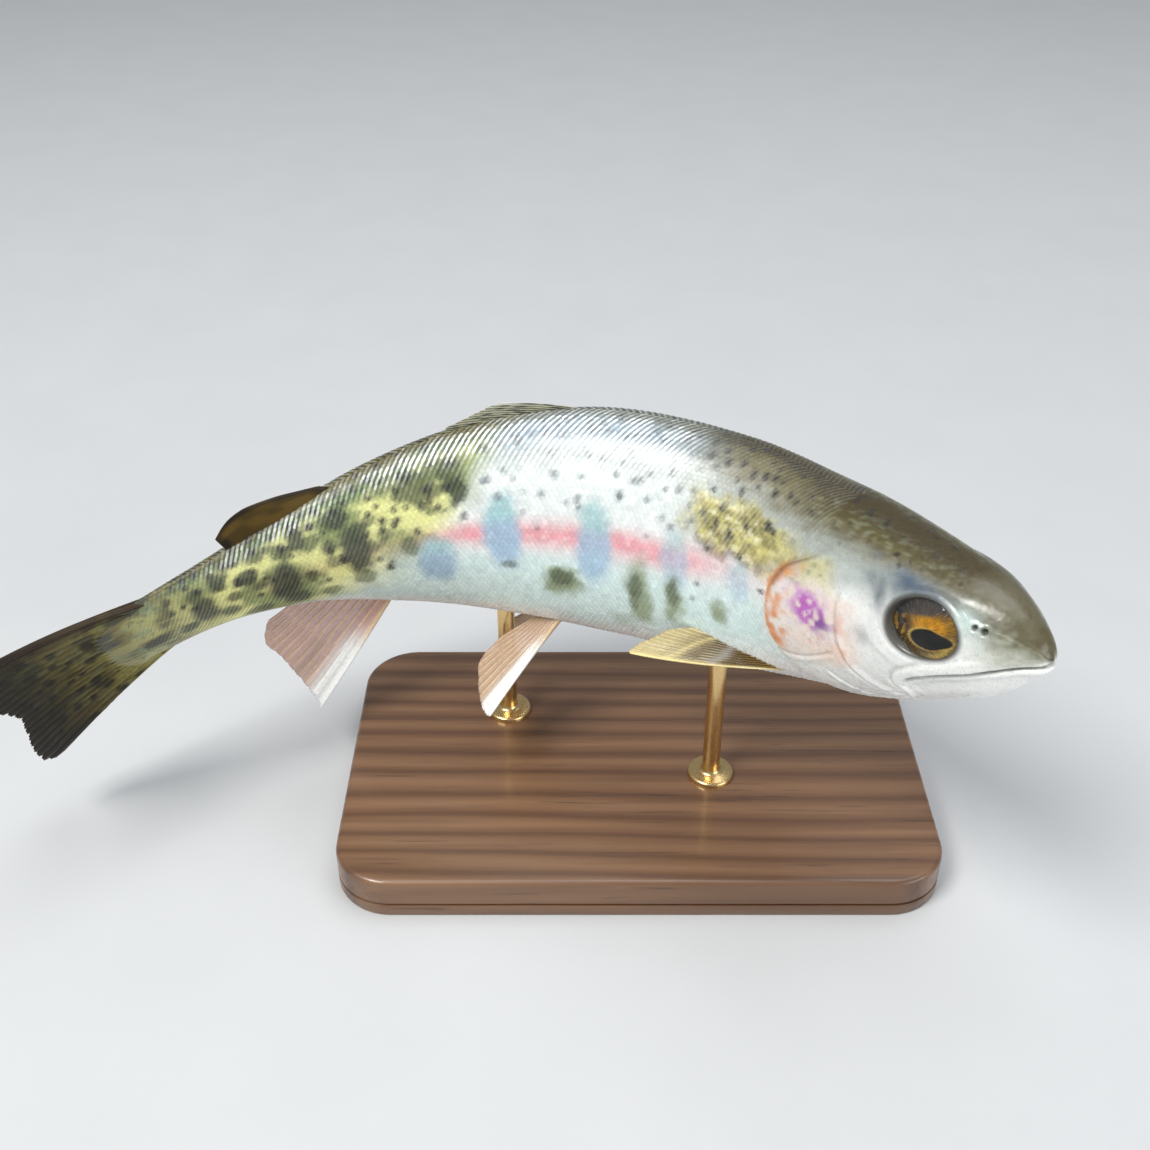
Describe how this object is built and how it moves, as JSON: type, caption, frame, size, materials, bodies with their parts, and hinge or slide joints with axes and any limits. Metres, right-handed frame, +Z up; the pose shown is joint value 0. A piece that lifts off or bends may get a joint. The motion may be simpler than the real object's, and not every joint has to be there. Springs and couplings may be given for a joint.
{
  "type": "rainbow trout display model",
  "caption": "Life-size display model of a young rainbow trout in a strong sideways bend, held over a plain wooden plinth by short rods.",
  "frame": {"origin": "centre of the plinth's underside", "axes": "+Z up; the middle of the fish points its head along +X, and its left side faces +Y"},
  "size_m": [0.1626, 0.0837, 0.0781],
  "materials": {
    "skin": "wet scaled skin: olive back with dark spots, silver flank, pink stripe over blue-grey bars, white belly",
    "fin": "thin rayed membrane, olive or pinkish, with white leading edges below",
    "eye": "polished, gold-orange iris with a black pupil",
    "plinth": "satin dark wood",
    "rod": "brushed"
  },
  "bodies": {
    "root": {"head": "skin", "lower_jaw": "skin", "trunk_front": "skin", "trunk_middle": "skin", "trunk_rear": "skin", "tail_peduncle": "skin", "dorsal_fin": "fin", "adipose_fin": "fin", "anal_fin": "fin", "caudal_fin": "fin", "pectoral_fin_right": "fin", "pectoral_fin_left": "fin", "pelvic_fin_right": "fin", "pelvic_fin_left": "fin", "eye_right": "eye", "eye_left": "eye", "stand_base": "plinth", "stand_rod_front": "rod", "stand_rod_rear": "rod"}
  },
  "joints": []
}
